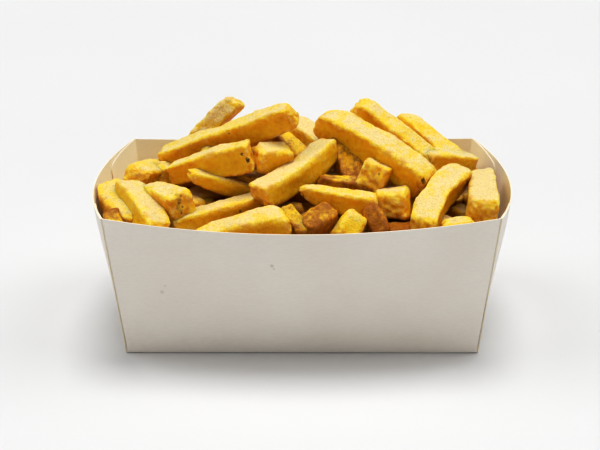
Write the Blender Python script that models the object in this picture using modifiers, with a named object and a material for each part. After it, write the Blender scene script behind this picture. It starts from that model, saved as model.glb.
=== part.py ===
"""An open paperboard carton, heaped with chunky french fries.

The carton is folded from one sheet of board. Its long walls dip a little in the middle, all four walls bow
outwards under the load, and a glue flap reaches round each corner on the inside of the end walls.
The fries are one solid: a plain core that fills the carton, with the fries that show joined to it.

Blender 4.5. Units are metres, +Z is up, and -Y is the front. The origin is on the table, under the middle.
"""

import math
import random
from collections import namedtuple

import bmesh
import bpy
import numpy as np
from mathutils import Matrix, Vector

MM = 0.001

# Carton, outside sizes
BASE_LENGTH = 158 * MM
BASE_DEPTH = 90 * MM
RIM_LENGTH = 170 * MM
RIM_DEPTH = 102 * MM
WALL_HEIGHT = 68 * MM
BOARD = 0.5 * MM
WALL_BOW = 8.4 * MM
END_BOW = 10.2 * MM
RIM_DIP = 3.7 * MM
END_RIM_DIP = 1.3 * MM
LONG_STEPS = 16
SHORT_STEPS = 12
WALL_LEVELS = 4

# Glue flaps, on the inside of the end walls, as shares of the wall's half depth and of its height
FLAP_START = 0.998
FLAP_REACH = 0.56
FLAP_FOOT = 0.04
FLAP_DROP = 0.045
FLAP_CURVE = 1.5
FLAP_STEPS = (5, 4)

# The heap, in millimetres: the crown is its rounded upper limit, and the ceiling keeps what lies behind out of sight
CORE_GAP = 0.9 * MM
CORE_FLOOR_GAP = 0.4 * MM
CORE_DEPTH = 25
CORE_LOWEST = 40
CROWN_EDGE = 64
CROWN_RISE = 24
CROWN_HALF_LENGTH = 95
CROWN_PEAK_BACK = 16
CROWN_FRONT_RUN = 68
CROWN_BACK_RUN = 60
CEILING_HEIGHT = 86
CEILING_FALL = 22
CEILING_SLOPE = 0.36
FRY_CLEARANCE = 2 * BOARD + 0.7 * MM
CHAMFER = 0.2
FRY_CUTS = 2
UNEVEN = 0.35 * MM
SEED = 7

Fry = namedtuple("Fry", "name start end width height roll taper bend", defaults=(0, (1, 1), 0))

# The fries that show from the front, each by its two ends in millimetres: x to the right, y to the back, z up.
# Taper is the thickness at the start and at the end, as a share of width and height. Bend is in millimetres.
SHOWN_FRIES = [
    Fry("tip_left", (-53, 28, 64), (-29, 38, 93), 11, 13, 20, (1, 0.8)),
    Fry("long_left", (-67, 20, 70), (-4, -2, 99), 13, 13, 5, (0.7, 1.12), 2),
    Fry("spotted", (-60, -2, 71), (-22, -14, 83), 13, 13, -5, (0.6, 1.15), 1),
    Fry("sliver", (-46, 6, 78), (-26, 2, 78), 7, 6, 10),
    Fry("corner_back", (-77, -6, 69), (-58, 26, 60), 13, 12, 15),
    Fry("corner_inner", (-69, 4, 67), (-42, 22, 61), 12, 11, 5),
    Fry("corner_long", (-80, -10, 67), (-56, -48, 58), 14, 12, -12, (0.9, 1.1), 2),
    Fry("corner_wide", (-89, -3, 62), (-72, -36, 59), 14, 12, 10, (1.1, 0.9)),
    Fry("corner_end", (-84, -32, 62), (-76, -50, 58), 9, 10),
    Fry("stub_spots", (-69, -11, 62), (-49, -31, 68), 13, 15, 6, (0.9, 1.05)),
    Fry("under_spotted", (-50, -17, 75), (-18, -10, 62), 11, 9, 0, (0.7, 1.1)),
    Fry("shadow_left", (-40, -3, 68), (-14, -9, 66), 11, 11),
    Fry("front_deep", (-60, -36, 59), (-18, -22, 65), 11, 11, -6, (1, 1.1)),
    Fry("front_wedge", (-46, -48, 57), (-5, -45, 63), 13, 13, 8, (0.65, 1.25)),
    Fry("centre_big", (-20, -35, 73), (14, 3, 82), 14, 13, 4, (1, 0.95), 2),
    Fry("knob", (-18, -5, 78), (6, 8, 74), 12, 13, 12),
    Fry("brown_back", (-15, 18, 86), (3, -2, 73), 11, 11),
    Fry("pale_back", (-6, 28, 83), (16, 12, 74), 13, 13),
    Fry("long_right", (8, 15, 90), (56, -16, 69), 13, 14, 8, (1, 1.05), 2),
    Fry("behind_1", (25, 28, 93), (60, 10, 69), 11, 12, 10),
    Fry("behind_2", (47, 38, 83), (75, 19, 64), 12, 12, 5, (0.9, 1.1)),
    Fry("right_back", (55, 8, 72), (82, 20, 66), 13, 13, 0, (1.1, 0.7)),
    Fry("right_big", (73, -1, 71), (51, -48, 60), 14, 14, -8, (0.95, 1.05), 3),
    Fry("right_end", (85, 11, 66), (78, -40, 67), 14, 12, 4),
    Fry("cube_high", (31, -14, 73), (36, 24, 62), 14, 14, 18),
    Fry("cube_low", (39, -35, 67), (45, 0, 58), 15, 14, -6),
    Fry("mid_fry", (0, -28, 73), (34, -31, 64), 12, 12, -8, (0.6, 1.2)),
    Fry("brown_front", (0, -48, 59), (15, -35, 67), 13, 12, 14),
    Fry("wedge_front", (15, -51, 57), (26, -39, 65), 13, 12, 30),
    Fry("brown_wedge", (29, -36, 67), (39, -48, 58), 10, 10, 35),
    Fry("small_left", (-8, -37, 70), (3, -47, 59), 10, 9, 20),
    Fry("low_right", (32, -46, 62), (56, -36, 58), 10, 10),
    Fry("dark_mid", (16, 11, 83), (24, -12, 64), 12, 12),
    Fry("under_right", (34, -2, 70), (54, -14, 62), 11, 11),
    Fry("ragged_mid", (6, -15, 72), (30, -19, 71), 10, 10),
    Fry("crumb_right", (60, -48, 62), (74, -43, 62), 9, 8),
]

# Fries out of sight at the back, which carry some of those
HIDDEN_FRIES = [
    Fry("back_left", (-62, 32, 59), (-12, 36, 75), 13, 13),
    Fry("back_middle", (16, 22, 82), (62, 32, 66), 13, 13),
    Fry("back_right", (30, 44, 68), (82, 30, 60), 13, 13),
]

# Fries laid by rule between those that show and behind them, in millimetres: one layer on the core, one above
LAYER_HEIGHTS = (4, 14)
LAYER_COUNT = 26
PLACES_TRIED = 300
FILLER_LENGTH = (30, 64)
FILLER_THICKNESS = (10, 12.5)
HEIGHT_SPREAD = 2.5
MAX_SLOPE = 0.45
CLOSENESS = 0.34
SIGHT_PITCH = math.radians(24)
SAMPLES = 10


def wall_shape(across, back, up, inset=0.0):
    """Where the carton's outside lies: across and back run from -1 to 1 over the base, and up from crease to rim."""
    half_length = (BASE_LENGTH + (RIM_LENGTH - BASE_LENGTH) * up) / 2
    half_depth = (BASE_DEPTH + (RIM_DEPTH - BASE_DEPTH) * up) / 2
    lean = math.sin(math.pi / 2 * up)
    x = across * (half_length - inset)
    y = back * (half_depth - inset)
    z = up * WALL_HEIGHT
    if abs(back) > 0.999:
        y += math.copysign(WALL_BOW * (1 - across**2) * lean, back)
        z -= RIM_DIP * (1 - across**2) * up
    elif abs(across) > 0.999:
        x += math.copysign(END_BOW * (1 - back**2) * lean, across)
        z -= END_RIM_DIP * (1 - back**2) * up
    return Vector((x, y, z))


def new_object(name, form, collection, colour, roughness):
    """A mesh object made from a bmesh, with a Principled material of its own."""
    mesh = bpy.data.meshes.new(name)
    form.to_mesh(mesh)
    form.free()
    thing = bpy.data.objects.new(name, mesh)
    collection.objects.link(thing)
    material = bpy.data.materials.new(name)
    material.use_nodes = True
    surface = material.node_tree.nodes["Principled BSDF"]
    surface.inputs["Base Color"].default_value = (*colour, 1)
    surface.inputs["Roughness"].default_value = roughness
    surface.inputs["Metallic"].default_value = 0
    mesh.materials.append(material)
    return thing


def base_grid(form, steps_long, steps_short):
    """A flat grid over the base that remembers in two layers how far across and back each point is."""
    bmesh.ops.create_grid(form, x_segments=steps_long, y_segments=steps_short, size=1)
    across = form.verts.layers.float.new("across")
    back = form.verts.layers.float.new("back")
    for vert in form.verts:
        vert[across] = vert.co.x
        vert[back] = vert.co.y
    return across, back


def border(form):
    """The open edges of a surface."""
    return [edge for edge in form.edges if edge.is_boundary]


def raise_walls(form, layers, levels, inset=0.0):
    """Extrudes the open border once for each level, and puts each new ring on the walls."""
    across, back = layers
    for up in levels:
        grown = bmesh.ops.extrude_edge_only(form, edges=border(form))["geom"]
        for vert in (part for part in grown if isinstance(part, bmesh.types.BMVert)):
            vert.co = wall_shape(vert[across], vert[back], up, inset)


def apply_modifiers(thing):
    """Replaces an object's mesh with what its modifiers make of it."""
    shaped = bpy.data.meshes.new_from_object(thing.evaluated_get(bpy.context.evaluated_depsgraph_get()))
    thing.modifiers.clear()
    thing.data = shaped


def make_shell(collection):
    """The folded board: base and four walls as one surface, thickened inwards."""
    form = bmesh.new()
    layers = base_grid(form, LONG_STEPS, SHORT_STEPS)
    for vert in form.verts:
        vert.co = Vector((vert.co.x * BASE_LENGTH / 2, vert.co.y * BASE_DEPTH / 2, 0))
    raise_walls(form, layers, [level / WALL_LEVELS for level in range(1, WALL_LEVELS + 1)])
    bmesh.ops.recalc_face_normals(form, faces=form.faces)
    floor_face = min(form.faces, key=lambda face: face.calc_center_median().z)
    if floor_face.normal.z > 0:
        bmesh.ops.reverse_faces(form, faces=form.faces)
    shell = new_object("carton", form, collection, (0.82, 0.80, 0.76), 0.6)
    thick = shell.modifiers.new("board", "SOLIDIFY")
    thick.thickness = BOARD
    thick.offset = -1
    thick.use_even_offset = True
    return shell


def make_flap(end, side, collection):
    """One glue flap: a second layer of board from a corner along an end wall, its top edge sloping down."""
    form = bmesh.new()
    bmesh.ops.create_grid(form, x_segments=FLAP_STEPS[0], y_segments=FLAP_STEPS[1], size=1)
    for vert in form.verts:
        reach = (vert.co.x + 1) / 2
        rise = (vert.co.y + 1) / 2
        top = 1 - 0.5 * BOARD / WALL_HEIGHT - FLAP_DROP * reach**FLAP_CURVE
        up = FLAP_FOOT + (top - FLAP_FOOT) * rise
        back = side * min(FLAP_START, 1 - FLAP_REACH * reach)
        vert.co = wall_shape(end, back, up, BOARD / 2)
    bmesh.ops.recalc_face_normals(form, faces=form.faces)
    if form.faces[:][0].normal.x * end < 0:
        bmesh.ops.reverse_faces(form, faces=form.faces)
    flap = new_object("flap", form, collection, (0.82, 0.80, 0.76), 0.6)
    thick = flap.modifiers.new("board", "SOLIDIFY")
    thick.thickness = 1.5 * BOARD
    thick.offset = -1
    apply_modifiers(flap)
    return flap


def join_all(target, collection, solver):
    """Joins every object of a collection to the target with one Boolean union, and then removes them."""
    union = target.modifiers.new("join", "BOOLEAN")
    union.operation = "UNION"
    union.operand_type = "COLLECTION"
    union.collection = collection
    union.solver = solver
    apply_modifiers(target)
    for thing in list(collection.objects):
        bpy.data.objects.remove(thing)
    bpy.data.collections.remove(collection)


def face_shells(form):
    """The faces of a mesh in groups that hang together across their edges."""
    left = set(form.faces)
    shells = []
    while left:
        front = [left.pop()]
        shell = set(front)
        while front:
            near = {face for known in front for edge in known.edges for face in edge.link_faces} & left
            left -= near
            shell |= near
            front = list(near)
        shells.append(shell)
    return shells


def keep_largest(thing):
    """Drops loose scraps and the skins of hollows that the joining sealed."""
    form = bmesh.new()
    form.from_mesh(thing.data)
    shells = sorted(face_shells(form), key=lambda shell: sum(face.calc_area() for face in shell))
    scraps = [face for shell in shells[:-1] for face in shell]
    bmesh.ops.delete(form, geom=scraps, context="FACES")
    form.to_mesh(thing.data)
    form.free()
    print(f"{thing.name}: {len(shells) - 1} scraps dropped, {len(thing.data.polygons)} faces")


def crown(x, y):
    """Height of the rounded surface that the fries lie up to, with x, y and the answer in millimetres."""
    run = CROWN_BACK_RUN if y > CROWN_PEAK_BACK else CROWN_FRONT_RUN
    across = 1 - min(1, abs(x) / CROWN_HALF_LENGTH) ** 2
    back = 1 - min(1, abs(y - CROWN_PEAK_BACK) / run) ** 2
    return CROWN_EDGE + CROWN_RISE * across * back


def ceiling(x, y):
    """Height that a fry behind stays below, so that it doesn't show over the front ones."""
    return CEILING_HEIGHT - CEILING_FALL * ((x - 8) / 75) ** 2 - CEILING_SLOPE * (y - 30)


def core_top(x, y):
    """Height of the plain core's top, in millimetres."""
    return max(CORE_LOWEST, min(crown(x, y), ceiling(x, y)) - CORE_DEPTH)


def make_core(collection):
    """The plain filling under the fries that show: a mound on top, and the carton's own form below."""
    inset = BOARD * 2 + CORE_GAP
    form = bmesh.new()
    across, back = base_grid(form, 12, 8)
    for vert in form.verts:
        place = wall_shape(vert[across], vert[back], 0.6, inset)
        vert.co = Vector((place.x, place.y, core_top(place.x / MM, place.y / MM) * MM))
    raise_walls(form, (across, back), [0.4, 0.2], inset)
    foot = bmesh.ops.extrude_edge_only(form, edges=border(form))["geom"]
    for vert in (part for part in foot if isinstance(part, bmesh.types.BMVert)):
        vert.co = wall_shape(vert[across], vert[back], 0, inset)
        vert.co.z = BOARD + CORE_FLOOR_GAP
    bmesh.ops.holes_fill(form, edges=border(form), sides=0)
    bmesh.ops.recalc_face_normals(form, faces=form.faces)
    return new_object("fries", form, collection, (0.80, 0.55, 0.16), 0.55)


def fry_axes(fry):
    """The turn that takes a fry from lying along X to its own direction and roll."""
    along = (Vector(fry.end) - Vector(fry.start)).normalized()
    side = Vector((0, 0, 1)).cross(along).normalized()
    upright = along.cross(side)
    turn = Matrix((along, side, upright)).transposed()
    return turn @ Matrix.Rotation(math.radians(fry.roll), 3, "X")


def keep_inside(point, clearance=FRY_CLEARANCE):
    """Moves a point that would reach the carton's wall back to just inside it."""
    up = min(max(point.z / WALL_HEIGHT, 0), 1)
    lean = math.sin(math.pi / 2 * up)
    half_length = (BASE_LENGTH + (RIM_LENGTH - BASE_LENGTH) * up) / 2
    half_depth = (BASE_DEPTH + (RIM_DEPTH - BASE_DEPTH) * up) / 2
    across = min(1, abs(point.x) / half_length)
    back = min(1, abs(point.y) / half_depth)
    reach_x = half_length + END_BOW * (1 - back**2) * lean - clearance
    reach_y = half_depth + WALL_BOW * (1 - across**2) * lean - clearance
    return Vector((min(max(point.x, -reach_x), reach_x), min(max(point.y, -reach_y), reach_y), point.z))


def make_fry(fry, collection, draw):
    """One fry with few sides: a chamfered bar, tapered, bent, a little uneven and kept inside the carton."""
    length = (Vector(fry.end) - Vector(fry.start)).length
    form = bmesh.new()
    bmesh.ops.create_cube(form, size=1)
    bmesh.ops.scale(form, vec=(length, fry.width, fry.height), verts=form.verts)
    bmesh.ops.bevel(
        form,
        geom=form.edges[:],
        offset=CHAMFER * min(fry.width, fry.height),
        segments=1,
        profile=0.5,
        affect="EDGES",
        material=-1,
    )
    for cut in range(FRY_CUTS):
        where = length * ((cut + 1) / (FRY_CUTS + 1) - 0.5)
        bmesh.ops.bisect_plane(
            form,
            geom=form.verts[:] + form.edges[:] + form.faces[:],
            plane_co=(where, 0, 0),
            plane_no=(1, 0, 0),
        )
    turn = fry_axes(fry)
    clearance = FRY_CLEARANCE + draw.uniform(0, 1) * MM
    middle = (Vector(fry.start) + Vector(fry.end)) / 2
    for vert in form.verts:
        share = vert.co.x / length + 0.5
        swell = fry.taper[0] + (fry.taper[1] - fry.taper[0]) * share
        vert.co.y *= swell
        vert.co.z = vert.co.z * swell + fry.bend * (1 - (2 * share - 1) ** 2)
        vert.co += Vector([draw.uniform(-1, 1) * UNEVEN / MM for _ in range(3)])
        vert.co = keep_inside((middle + turn @ vert.co) * MM, clearance)
    return new_object(fry.name, form, collection, (0.80, 0.55, 0.16), 0.55)


def middle_line(fry):
    """Points along a fry's middle line."""
    shares = np.linspace(0, 1, SAMPLES)[:, None]
    return np.array(fry.start) * (1 - shares) + np.array(fry.end) * shares


def gap_between(first, second):
    """Shortest distance between two fries' middle lines."""
    return np.linalg.norm(middle_line(first)[:, None] - middle_line(second)[None], axis=2).min()


def stands_before(fry, shown):
    """Whether a fry hides some of another from a viewer in front and above."""
    sight = np.array((0, math.cos(SIGHT_PITCH), -math.sin(SIGHT_PITCH)))
    steps = middle_line(shown)[None] - middle_line(fry)[:, None]
    ahead = steps @ sight
    aside = np.linalg.norm(steps - ahead[..., None] * sight, axis=2)
    return bool(((ahead > 0) & (aside < (fry.width + shown.width) / 2)).any())


def random_fry(draw, name, layer):
    """A fry of random size, place and heading, a layer's height above the core at both ends."""
    middle = np.array((draw.uniform(-84, 84), draw.uniform(-50, 54)))
    heading = draw.uniform(0, math.pi)
    half_run = np.array((math.cos(heading), math.sin(heading))) * draw.uniform(*FILLER_LENGTH) / 2
    thickness = draw.uniform(*FILLER_THICKNESS)
    tips = []
    for x, y in (middle - half_run, middle + half_run):
        tips.append((x, y, core_top(x, y) + layer + draw.uniform(-HEIGHT_SPREAD, HEIGHT_SPREAD)))
    roll = draw.uniform(-12, 12)
    taper = (draw.uniform(0.85, 1.05), draw.uniform(0.85, 1.1))
    return Fry(name, *tips, thickness, thickness * 0.95, roll, taper, draw.uniform(0, 2))


def fits(fry):
    """Whether a fry lies inside the carton and the heap's upper limit, and hides none of those that show."""
    for tip in (fry.start, fry.end):
        place = Vector(tip) * MM
        if (keep_inside(place) - place).length > 0:
            return False
        if tip[2] + fry.height / 2 > min(crown(tip[0], tip[1]), ceiling(tip[0], tip[1])):
            return False
    if abs(fry.end[2] - fry.start[2]) > MAX_SLOPE * math.dist(fry.start[:2], fry.end[:2]):
        return False
    return not any(stands_before(fry, shown) for shown in SHOWN_FRIES)


def openness(fry, others):
    """How far a fry is from its nearest neighbour, beyond what two fries may press into each other."""
    return min(gap_between(fry, other) - CLOSENESS * (fry.width + other.width) for other in others)


def all_fries():
    """The fries that show, and then the rest, layer by layer: each takes the most open of many places."""
    draw = random.Random(SEED)
    fries = SHOWN_FRIES + HIDDEN_FRIES
    for layer in LAYER_HEIGHTS:
        for number in range(LAYER_COUNT):
            tried = [random_fry(draw, f"laid_{layer}_{number}", layer) for _ in range(PLACES_TRIED)]
            fitting = [fry for fry in tried if fits(fry)]
            if not fitting:
                continue
            best = max(fitting, key=lambda fry: openness(fry, fries))
            if openness(best, fries) > 0:
                fries.append(best)
        print(f"fries: {len(fries)} with the layer {layer} mm above the core")
    return fries


def main():
    for thing in list(bpy.data.objects):
        bpy.data.objects.remove(thing)
    parts = bpy.data.collections.new("fries_in_a_carton")
    flaps = bpy.data.collections.new("flaps")
    pieces = bpy.data.collections.new("pieces")
    for collection in (parts, flaps, pieces):
        bpy.context.scene.collection.children.link(collection)

    carton = make_shell(parts)
    for end in (-1, 1):
        for side in (-1, 1):
            make_flap(end, side, flaps)
    join_all(carton, flaps, "EXACT")
    keep_largest(carton)

    heap = make_core(parts)
    draw = random.Random(SEED + 1)
    for fry in all_fries():
        make_fry(fry, pieces, draw)
    join_all(heap, pieces, "EXACT")
    keep_largest(heap)


main()
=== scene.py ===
# %% [markdown]
# # Chunky french fries in a paperboard carton
#
# The real thing is an open box, folded from one sheet of white board and heaped with thick golden fries. We
# make it in three steps: the board, the fries one by one, and the light. The imported model comes first,
# because it says where everything is.

import math
import random
from collections import namedtuple

import bmesh
import bpy
import numpy as np
from mathutils import Matrix, Vector
from mathutils.bvhtree import BVHTree


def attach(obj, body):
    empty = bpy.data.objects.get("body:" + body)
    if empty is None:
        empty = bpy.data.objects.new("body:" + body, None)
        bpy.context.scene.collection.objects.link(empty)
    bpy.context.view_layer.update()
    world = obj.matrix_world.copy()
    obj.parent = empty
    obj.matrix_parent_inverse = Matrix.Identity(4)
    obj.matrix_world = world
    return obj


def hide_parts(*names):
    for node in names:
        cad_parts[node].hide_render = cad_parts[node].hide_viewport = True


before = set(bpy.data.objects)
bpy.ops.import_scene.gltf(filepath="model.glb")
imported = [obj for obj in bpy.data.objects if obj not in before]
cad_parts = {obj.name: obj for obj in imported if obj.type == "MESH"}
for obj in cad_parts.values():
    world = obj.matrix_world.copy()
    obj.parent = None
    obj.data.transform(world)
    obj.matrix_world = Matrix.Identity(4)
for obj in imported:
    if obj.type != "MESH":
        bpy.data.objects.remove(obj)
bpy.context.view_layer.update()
MM = 0.001

# %% [markdown]
# ## The camera
#
# The photograph looks at the long side from a little above, through a long lens, so the carton hardly
# narrows towards the back. The camera could wait until the end, but dark spots on the fries and small
# marks on the board are placed by their pixel in the photograph, and for that we need its lines of
# sight first.

# %% Set up the camera
PHOTO_WIDTH = 600
PHOTO_HEIGHT = 450
LENS = 73
SENSOR = 36
CAMERA_PLACE = (0.0068, -0.5235, 0.2702)
CAMERA_PITCH = 23.45
CAMERA_YAW = 0.87
CAMERA_ROLL = -0.38

lens = bpy.data.cameras.new("camera")
lens.lens = LENS
lens.sensor_width = SENSOR
lens.dof.use_dof = False
camera = bpy.data.objects.new("camera", lens)
bpy.context.scene.collection.objects.link(camera)
turn_about = [
    Matrix.Rotation(math.radians(CAMERA_YAW), 4, "Z"),
    Matrix.Rotation(math.radians(90 - CAMERA_PITCH), 4, "X"),
    Matrix.Rotation(math.radians(CAMERA_ROLL), 4, "Z"),
]
camera.matrix_world = Matrix.Translation(CAMERA_PLACE) @ turn_about[0] @ turn_about[1] @ turn_about[2]
bpy.context.scene.camera = camera
PIXELS_PER_UNIT = LENS / SENSOR * PHOTO_WIDTH


def sight_line(px, py):
    """The direction in which the camera sees a pixel of the photograph."""
    local = Vector((px - PHOTO_WIDTH / 2, PHOTO_HEIGHT / 2 - py, -PIXELS_PER_UNIT))
    return (camera.matrix_world.to_3x3() @ local).normalized()


print("camera looks along", [round(part, 3) for part in sight_line(PHOTO_WIDTH / 2, PHOTO_HEIGHT / 2)])

# %% [markdown]
# ## The carton's shape
#
# The carton is one flat sheet, creased and folded up: a base, two long walls, two end walls, and a glue
# flap on each side of the long walls that is folded round the corner onto the inside of the end wall.
# Under the load all four walls bow outwards, and the long rims dip in the middle. Two short functions
# say where a point of a wall lies, with shares from -1 to 1 along the wall and from 0 at the crease to
# 1 at the rim. With them, any number of rows follows the same smooth wall.

# %% Say where the walls lie
BASE_LENGTH = 158 * MM
BASE_DEPTH = 90 * MM
RIM_LENGTH = 170 * MM
RIM_DEPTH = 102 * MM
WALL_HEIGHT = 68 * MM
BOARD = 0.5 * MM
WALL_BOW = 8.4 * MM
END_BOW = 10.2 * MM
RIM_DIP = 3.7 * MM
END_RIM_DIP = 1.3 * MM
SEAM = 0.6 * MM
CREASE_RADIUS = 0.5 * MM


def half_size(base, rim, up):
    """Half the carton's length or depth at a share of its height."""
    return (base + (rim - base) * up) / 2


def tuck(up):
    """How far a wall draws in near the floor, where the board rounds the crease."""
    height = min(up * WALL_HEIGHT, CREASE_RADIUS)
    return CREASE_RADIUS - math.sqrt(CREASE_RADIUS**2 - (CREASE_RADIUS - height) ** 2)


def long_wall(across, side, up):
    """A point on the outside of the front wall, side -1, or the back wall, side 1."""
    bow = WALL_BOW * (1 - across**2) * math.sin(math.pi / 2 * up)
    x = across * (half_size(BASE_LENGTH, RIM_LENGTH, up) - SEAM)
    y = side * (half_size(BASE_DEPTH, RIM_DEPTH, up) - tuck(up) + bow)
    return Vector((x, y, up * (WALL_HEIGHT - RIM_DIP * (1 - across**2))))


def end_wall(end, back, up, inset=0.0):
    """A point on an end wall, inset from its outside: end is -1 on the left and 1 on the right."""
    bow = END_BOW * (1 - back**2) * math.sin(math.pi / 2 * up)
    x = end * (half_size(BASE_LENGTH, RIM_LENGTH, up) - tuck(up) + bow - inset)
    y = back * half_size(BASE_DEPTH, RIM_DEPTH, up)
    return Vector((x, y, up * (WALL_HEIGHT - END_RIM_DIP * (1 - back**2))))


reaches = (end_wall(1, 0, 1).x, long_wall(0, 1, 1).y)
print("widest and deepest in mm:", [round(2 * reach / MM, 1) for reach in reaches])

# %% [markdown]
# ## Folding the sheet
#
# A box could be cut from a cube, but then it would have no loose cut edges at its corners, and those
# edges are what makes it look folded. So we start from a flat grid, the base, and grow the walls from
# its border with extrude, one row at a time, as a folder would turn them up. The flaps grow from the
# ends of the long walls in the same way. Each point remembers its share across and up in a layer, so
# that the next row knows where it is.

# %% Grow the walls and flaps from the base
LONG_STEPS = 56
SHORT_STEPS = 32
FOLD_ROWS = 3
WALL_ROWS = 22
FLAP_FOOT = 0.04
FLAP_REACH = 0.56
FLAP_DROP = 0.045
FLAP_CURVE = 1.5
FLAP_CORNER = 0.12
FLAP_CORNER_DROP = 0.05
FLAP_STEPS = 18
CORNER_FOLD = 0.5 * MM
TINY = 0.01 * MM

fold_levels = [CREASE_RADIUS / WALL_HEIGHT * row / FOLD_ROWS for row in range(1, FOLD_ROWS + 1)]
wall_levels = [FLAP_FOOT + (1 - FLAP_FOOT) * row / WALL_ROWS for row in range(WALL_ROWS + 1)]
base_end = BASE_LENGTH / 2 - CREASE_RADIUS
base_side = BASE_DEPTH / 2 - CREASE_RADIUS

sheet = bmesh.new()
bmesh.ops.create_grid(sheet, x_segments=LONG_STEPS, y_segments=SHORT_STEPS, size=1)
share_across = sheet.verts.layers.float.new("share_across")
share_back = sheet.verts.layers.float.new("share_back")
share_up = sheet.verts.layers.float.new("share_up")
last_column = 1 - 2 / LONG_STEPS
for vert in sheet.verts:
    vert[share_across] = vert.co.x / last_column
    vert[share_back] = vert.co.y
    reach = base_end if abs(vert.co.x) > last_column + TINY else BASE_LENGTH / 2 - SEAM
    across = math.copysign(min(1, abs(vert[share_across])), vert.co.x)
    vert.co = Vector((across * reach, vert.co.y * base_side, 0))


def grow(chain, place):
    """Extrudes a chain of edges by one row, moves each new point to its place, and gives the new chain."""
    grown = bmesh.ops.extrude_edge_only(sheet, edges=chain)["geom"]
    fresh = {part for part in grown if isinstance(part, bmesh.types.BMVert)}
    for vert in fresh:
        vert.co = place(vert)
    return [part for part in grown if isinstance(part, bmesh.types.BMEdge) and set(part.verts) <= fresh]


def raise_wall(chain, place):
    """Grows a whole wall, row by row, and notes in each point how far up it is."""
    for up in fold_levels + wall_levels:
        chain = grow(chain, lambda vert: place(vert, up))
        for vert in {vert for edge in chain for vert in edge.verts}:
            vert[share_up] = up


def edges_where(test):
    """The sheet's open edges whose two points both pass a test."""
    return [edge for edge in sheet.edges if edge.is_boundary and all(test(vert) for vert in edge.verts)]


for side in (-1, 1):
    foot = edges_where(lambda vert: vert[share_back] * side > 1 - TINY and abs(vert[share_across]) < 1 + TINY)
    raise_wall(foot, lambda vert, up: long_wall(vert[share_across], side, up))
base_ends = {
    end: edges_where(lambda vert: vert[share_across] * end > 1 + TINY and vert.co.z < TINY) for end in (-1, 1)
}
print("sheet with its long walls:", len(sheet.faces), "faces")

# %% [markdown]
# ## The glue flaps and the end walls
#
# A flap's top edge follows the rim at first, then falls away, and its free corner is cut round. It lies
# against the inside of the end wall, one board's thickness in. The end walls come last and stand
# outside the flaps, so that their cut edges show beside the front wall, as on the real carton. A bevel
# then rounds the upright folds.

# %% Grow the flaps, round their folds and raise the end walls


def flap_top(reach):
    """The share of the height that a flap has at a share of its own reach."""
    fall = FLAP_DROP * reach**FLAP_CURVE
    into_corner = max(0, (reach - 1 + FLAP_CORNER) / FLAP_CORNER)
    return 1 - fall - FLAP_CORNER_DROP * (1 - math.sqrt(1 - into_corner**2))


def flap_point(vert, end, side, reach):
    """Where a point of a flap goes, with the rows pressed together below the flap's own top edge."""
    up = FLAP_FOOT + (vert[share_up] - FLAP_FOOT) * (flap_top(reach) - FLAP_FOOT) / (1 - FLAP_FOOT)
    return end_wall(end, side * (1 - FLAP_REACH * reach), up, SEAM)


upright_folds = []
for end in (-1, 1):
    for side in (-1, 1):
        chain = edges_where(
            lambda vert: vert[share_across] * end > 1 - TINY
            and vert.co.y * side > base_side
            and vert[share_up] > FLAP_FOOT - TINY
        )
        upright_folds += chain
        for step in range(1, FLAP_STEPS + 1):
            reach = math.sin(math.pi / 2 * step / FLAP_STEPS)
            chain = grow(chain, lambda vert: flap_point(vert, end, side, reach))
bmesh.ops.bevel(
    sheet,
    geom=upright_folds,
    offset=CORNER_FOLD,
    offset_type="OFFSET",
    segments=3,
    profile=0.5,
    affect="EDGES",
    material=-1,
)
for end, foot in base_ends.items():
    raise_wall(foot, lambda vert, up: end_wall(end, vert[share_back], up))
bmesh.ops.recalc_face_normals(sheet, faces=sheet.faces)
lowest = min(sheet.faces, key=lambda face: face.calc_center_median().z)
if lowest.normal.z > 0:
    bmesh.ops.reverse_faces(sheet, faces=sheet.faces)
print("whole sheet:", len(sheet.faces), "faces")

# %% [markdown]
# ## Giving the board its thickness
#
# The Solidify modifier turns the surface into board and can give the cut rim and the inner face
# materials of their own: the rim shows the cream core of the board. It is applied here, because only a
# real mesh can then have its sharp edges marked. Smooth shading keeps the bowed walls free of facets.

# %% Thicken the sheet
SHARP_ANGLE = math.radians(38)


def put(form, name):
    """Makes an object of a bmesh, smoothly shaded, at the origin."""
    mesh = bpy.data.meshes.new(name)
    form.to_mesh(mesh)
    form.free()
    thing = bpy.data.objects.new(name, mesh)
    bpy.context.scene.collection.objects.link(thing)
    mesh.shade_smooth()
    return thing


def apply_modifiers(thing):
    """Replaces an object's mesh with what its modifiers make of it."""
    shaped = bpy.data.meshes.new_from_object(thing.evaluated_get(bpy.context.evaluated_depsgraph_get()))
    thing.modifiers.clear()
    thing.data = shaped


carton = put(sheet, "carton_board")
for finish in ("board_outside", "board_cut_edge", "board_inside_with_painted_light"):
    carton.data.materials.append(bpy.data.materials.new(finish))
thick = carton.modifiers.new("board", "SOLIDIFY")
thick.thickness = BOARD
thick.offset = -1
thick.use_even_offset = True
thick.material_offset_rim = 1
thick.material_offset = 2
apply_modifiers(carton)
carton.data.shade_smooth()
carton.data.set_sharp_from_angle(angle=SHARP_ANGLE)
spans = [max(row) - min(row) for row in zip(*(vert.co for vert in carton.data.vertices))]
print("board:", len(carton.data.polygons), "faces,", [round(span / MM, 1) for span in spans], "mm")

# %% [markdown]
# ## A helper for shader nodes
#
# A finish is a small network of nodes. Adding one node takes three calls: make it, set its choices,
# fill its inputs. One helper does all three, and links an input where it is handed another node's
# output.

# %% Make nodes in one call


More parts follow.
